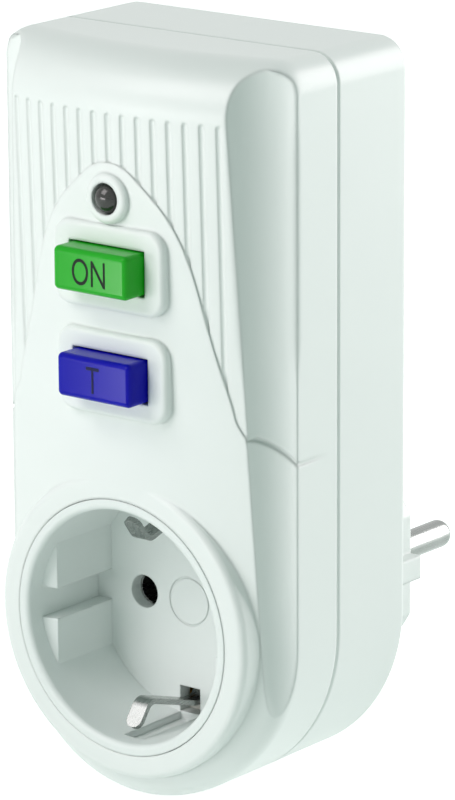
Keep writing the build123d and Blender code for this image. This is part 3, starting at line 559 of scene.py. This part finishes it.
@dataclass
class ButtonMark:
    """A generic printed mark on a button's front face."""

    name: str
    button: str
    slot: str
    words: str
    finish: Finish
    height: float = 4.3
    squeeze: float = 0.74
    stand: float = 0.03
    thickness: float = 0.02

    def outline(self) -> bpy.types.Mesh:
        """Sets the words as a flat solid mesh, face up.

        Returns:
            The mesh, in the font's own size.
        """
        curve = bpy.data.curves.new(self.name, "FONT")
        curve.body = self.words
        curve.align_x = "CENTER"
        curve.align_y = "CENTER"
        curve.extrude = self.thickness * MM / 2
        text = bpy.data.objects.new(self.name + "_outline", curve)
        bpy.context.scene.collection.objects.link(text)
        bpy.context.view_layer.update()
        mesh = bpy.data.meshes.new_from_object(text)
        bpy.data.objects.remove(text)
        mesh.name = self.name
        return mesh

    def build(self) -> None:
        """Builds the mark on the button's front face, riding with it."""
        low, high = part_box(self.button)
        mesh = self.outline()
        top = max(v.co.y for v in mesh.vertices)
        foot = min(v.co.y for v in mesh.vertices)
        size = self.height * MM / (top - foot)
        middle = (top + foot) / 2
        centre = Vector(
            ((low.x + high.x) / 2, low.y - self.stand * MM / 2, (low.z + high.z) / 2)
        )
        for vertex in mesh.vertices:
            x, y, z = vertex.co
            vertex.co = centre + Vector((x * size * self.squeeze, -z, (y - middle) * size))
        mark = bpy.data.objects.new(self.name, mesh)
        bpy.context.scene.collection.objects.link(mark)
        dress(mark, self.finish)
        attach(mark, self.button)
        log.info("printed %s", self.name)


@dataclass
class PhotoCamera:
    """The camera where the photograph was taken from, solved on the socket's rim."""

    azimuth: float = 38.34
    elevation: float = 15.02
    roll: float = -0.31
    distance: float = 757.0
    focal_pixels: float = 4700.0
    aim_right: float = 17.25
    aim_up: float = 36.75
    rim_ahead: float = 56.85
    sensor: float = 36.0
    nearest: float = 50.0
    farthest: float = 20000.0

    def build(self) -> None:
        """Builds the camera and makes it the scene's."""
        azimuth, elevation, roll = (
            math.radians(a) for a in (self.azimuth, self.elevation, self.roll)
        )
        back = Vector((
            math.sin(azimuth) * math.cos(elevation),
            -math.cos(azimuth) * math.cos(elevation),
            math.sin(elevation),
        ))
        level = Vector((math.cos(azimuth), math.sin(azimuth), 0))
        upright = back.cross(level)
        right = math.cos(roll) * level + math.sin(roll) * upright
        up = math.cos(roll) * upright - math.sin(roll) * level
        aim = Vector((0, -self.rim_ahead, 0)) + self.aim_right * right + self.aim_up * up
        place = (aim + self.distance * back) * MM
        data = bpy.data.cameras.new("photo_camera")
        data.sensor_width = self.sensor
        data.lens = self.focal_pixels / PHOTO_HEIGHT * self.sensor
        data.clip_start = self.nearest * MM
        data.clip_end = self.farthest * MM
        camera = bpy.data.objects.new("photo_camera", data)
        turn = Matrix((right, up, back)).transposed().to_4x4()
        camera.matrix_world = Matrix.Translation(place) @ turn
        bpy.context.scene.collection.objects.link(camera)
        bpy.context.scene.camera = camera


@dataclass
class SoftBox:
    """A rectangular lamp that faces the object.

    Azimuth is in degrees, 0 in front and positive to the right, and elevation in degrees.
    """

    name: str
    azimuth: float
    elevation: float
    distance: float
    width: float
    height: float
    watts: float
    tint: str = "#FFF8FA"
    target: tuple[float, float, float] = (0.0, -40.0, 30.0)

    def build(self) -> bpy.types.Object:
        """Builds the lamp.

        Returns:
            The lamp object.
        """
        data = bpy.data.lights.new(self.name, "AREA")
        data.shape = "RECTANGLE"
        data.size = self.width * MM
        data.size_y = self.height * MM
        data.energy = self.watts
        data.color = linear(self.tint)[:3]
        lamp = bpy.data.objects.new(self.name, data)
        across, lift = math.radians(self.azimuth), math.radians(self.elevation)
        away = Vector((
            math.sin(across) * math.cos(lift), -math.cos(across) * math.cos(lift), math.sin(lift),
        ))
        lamp.location = (Vector(self.target) + away * self.distance) * MM
        lamp.rotation_euler = away.to_track_quat("Z", "Y").to_euler()
        bpy.context.scene.collection.objects.link(lamp)
        log.info("lit %s", self.name)
        return lamp


@dataclass
class Studio:
    """A white sweep under soft boxes, from the front left and from behind on the right."""

    floor_half: float = 3000.0
    floor_drop: float = 0.3
    world_strength: float = 0.33
    world_tint: str = "#C6E8DC"
    floor_colour: str = "#E6EEEB"
    camera_lift: float = 0.6
    bounce_lift: float = 0.13
    glossy_pieces: tuple[str, ...] = ("on_button", "test_button")

    def build(self) -> None:
        """Builds the floor, the world and the lamps."""
        self.build_floor()
        self.build_world()
        SoftBox(
            "front_panel", azimuth=-26, elevation=42, distance=1100, width=600, height=600,
            watts=6.0,
        ).build()
        SoftBox(
            "right_panel", azimuth=148, elevation=18, distance=1100, width=600, height=900,
            watts=11.0,
        ).build()
        SoftBox(
            "low_panel", azimuth=-20, elevation=3, distance=450, width=300, height=60, watts=0.5,
        ).build()
        self.build_glint()

    def build_glint(self) -> None:
        """Builds a small box that shows only mirrored, in the glossy faces of the buttons."""
        glint = SoftBox(
            "glint_panel", azimuth=-26.5, elevation=-8, distance=200, width=60, height=50,
            watts=0.08,
        ).build()
        glint.visible_diffuse = False
        lit = bpy.data.collections.new("glossy_buttons")
        for name in self.glossy_pieces:
            lit.objects.link(frame["nodes"][name])
        glint.light_linking.receiver_collection = lit

    def seen_rays(self, tree: bpy.types.NodeTree) -> bpy.types.NodeSocket:
        """Adds the test for rays that show the background: direct, mirrored or through glass.

        Args:
            tree: The node tree that gets the test.

        Returns:
            A socket that is 1 for such a ray and 0 for the rest.
        """
        path = add_node(tree, "ShaderNodeLightPath").outputs
        seen = path["Is Camera Ray"]
        for kind in ("Is Transmission Ray", "Is Glossy Ray"):
            seen = add_node(
                tree, "ShaderNodeMath", {"operation": "MAXIMUM"}, {0: seen, 1: path[kind]}
            ).outputs[0]
        return seen

    def build_floor(self) -> None:
        """Builds the floor under the object's lowest point."""
        half = self.floor_half * MM
        level = cad_bounds[0][2] - self.floor_drop * MM
        mesh = bpy.data.meshes.new("floor")
        corners = [
            (-half, -half, level), (half, -half, level), (half, half, level), (-half, half, level),
        ]
        mesh.from_pydata(corners, [], [(0, 1, 2, 3)])
        floor = bpy.data.objects.new("floor", mesh)
        bpy.context.scene.collection.objects.link(floor)
        material, tree = new_tree("white_sweep")
        lift = add_node(
            tree, "ShaderNodeMath", {"operation": "MULTIPLY_ADD"},
            {0: self.seen_rays(tree), 1: self.camera_lift, 2: self.bounce_lift},
        )
        glow = add_node(tree, "ShaderNodeEmission", inputs={"Strength": lift.outputs[0]})
        matt = add_node(tree, "ShaderNodeBsdfDiffuse", inputs={"Color": linear(self.floor_colour)})
        both = add_node(
            tree, "ShaderNodeAddShader", inputs={0: glow.outputs[0], 1: matt.outputs[0]}
        )
        close_tree(tree, both)
        floor.data.materials.append(material)

    def build_world(self) -> None:
        """Builds a white world: full strength behind the object, softer as light on it."""
        world = bpy.data.worlds.new("white_world")
        world.use_nodes = True
        tree = world.node_tree
        tree.nodes.clear()
        soft = add_node(
            tree, "ShaderNodeBackground",
            inputs={"Color": linear(self.world_tint), "Strength": self.world_strength},
        )
        bright = add_node(
            tree, "ShaderNodeBackground", inputs={"Color": (1, 1, 1, 1), "Strength": 1.0}
        )
        mix = add_node(
            tree, "ShaderNodeMixShader",
            inputs={0: self.seen_rays(tree), 1: soft.outputs[0], 2: bright.outputs[0]},
        )
        add_node(tree, "ShaderNodeOutputWorld", inputs={"Surface": mix.outputs[0]})
        bpy.context.scene.world = world


def main() -> None:
    """Builds the camera and the studio, then dresses the pieces and prints the marks."""
    logging.basicConfig(level=logging.INFO, format="%(name)s: %(message)s")
    bpy.context.scene.view_settings.view_transform = "Standard"
    PhotoCamera().build()
    Studio().build()
    dress_carried_nodes()
    ButtonMark("on_mark", "on_button", "green_button", "ON", Finish.INK).build()
    ButtonMark("test_mark", "test_button", "blue_button", "T", Finish.INK_ON_BLUE).build()


if __name__ == "__main__":
    main()
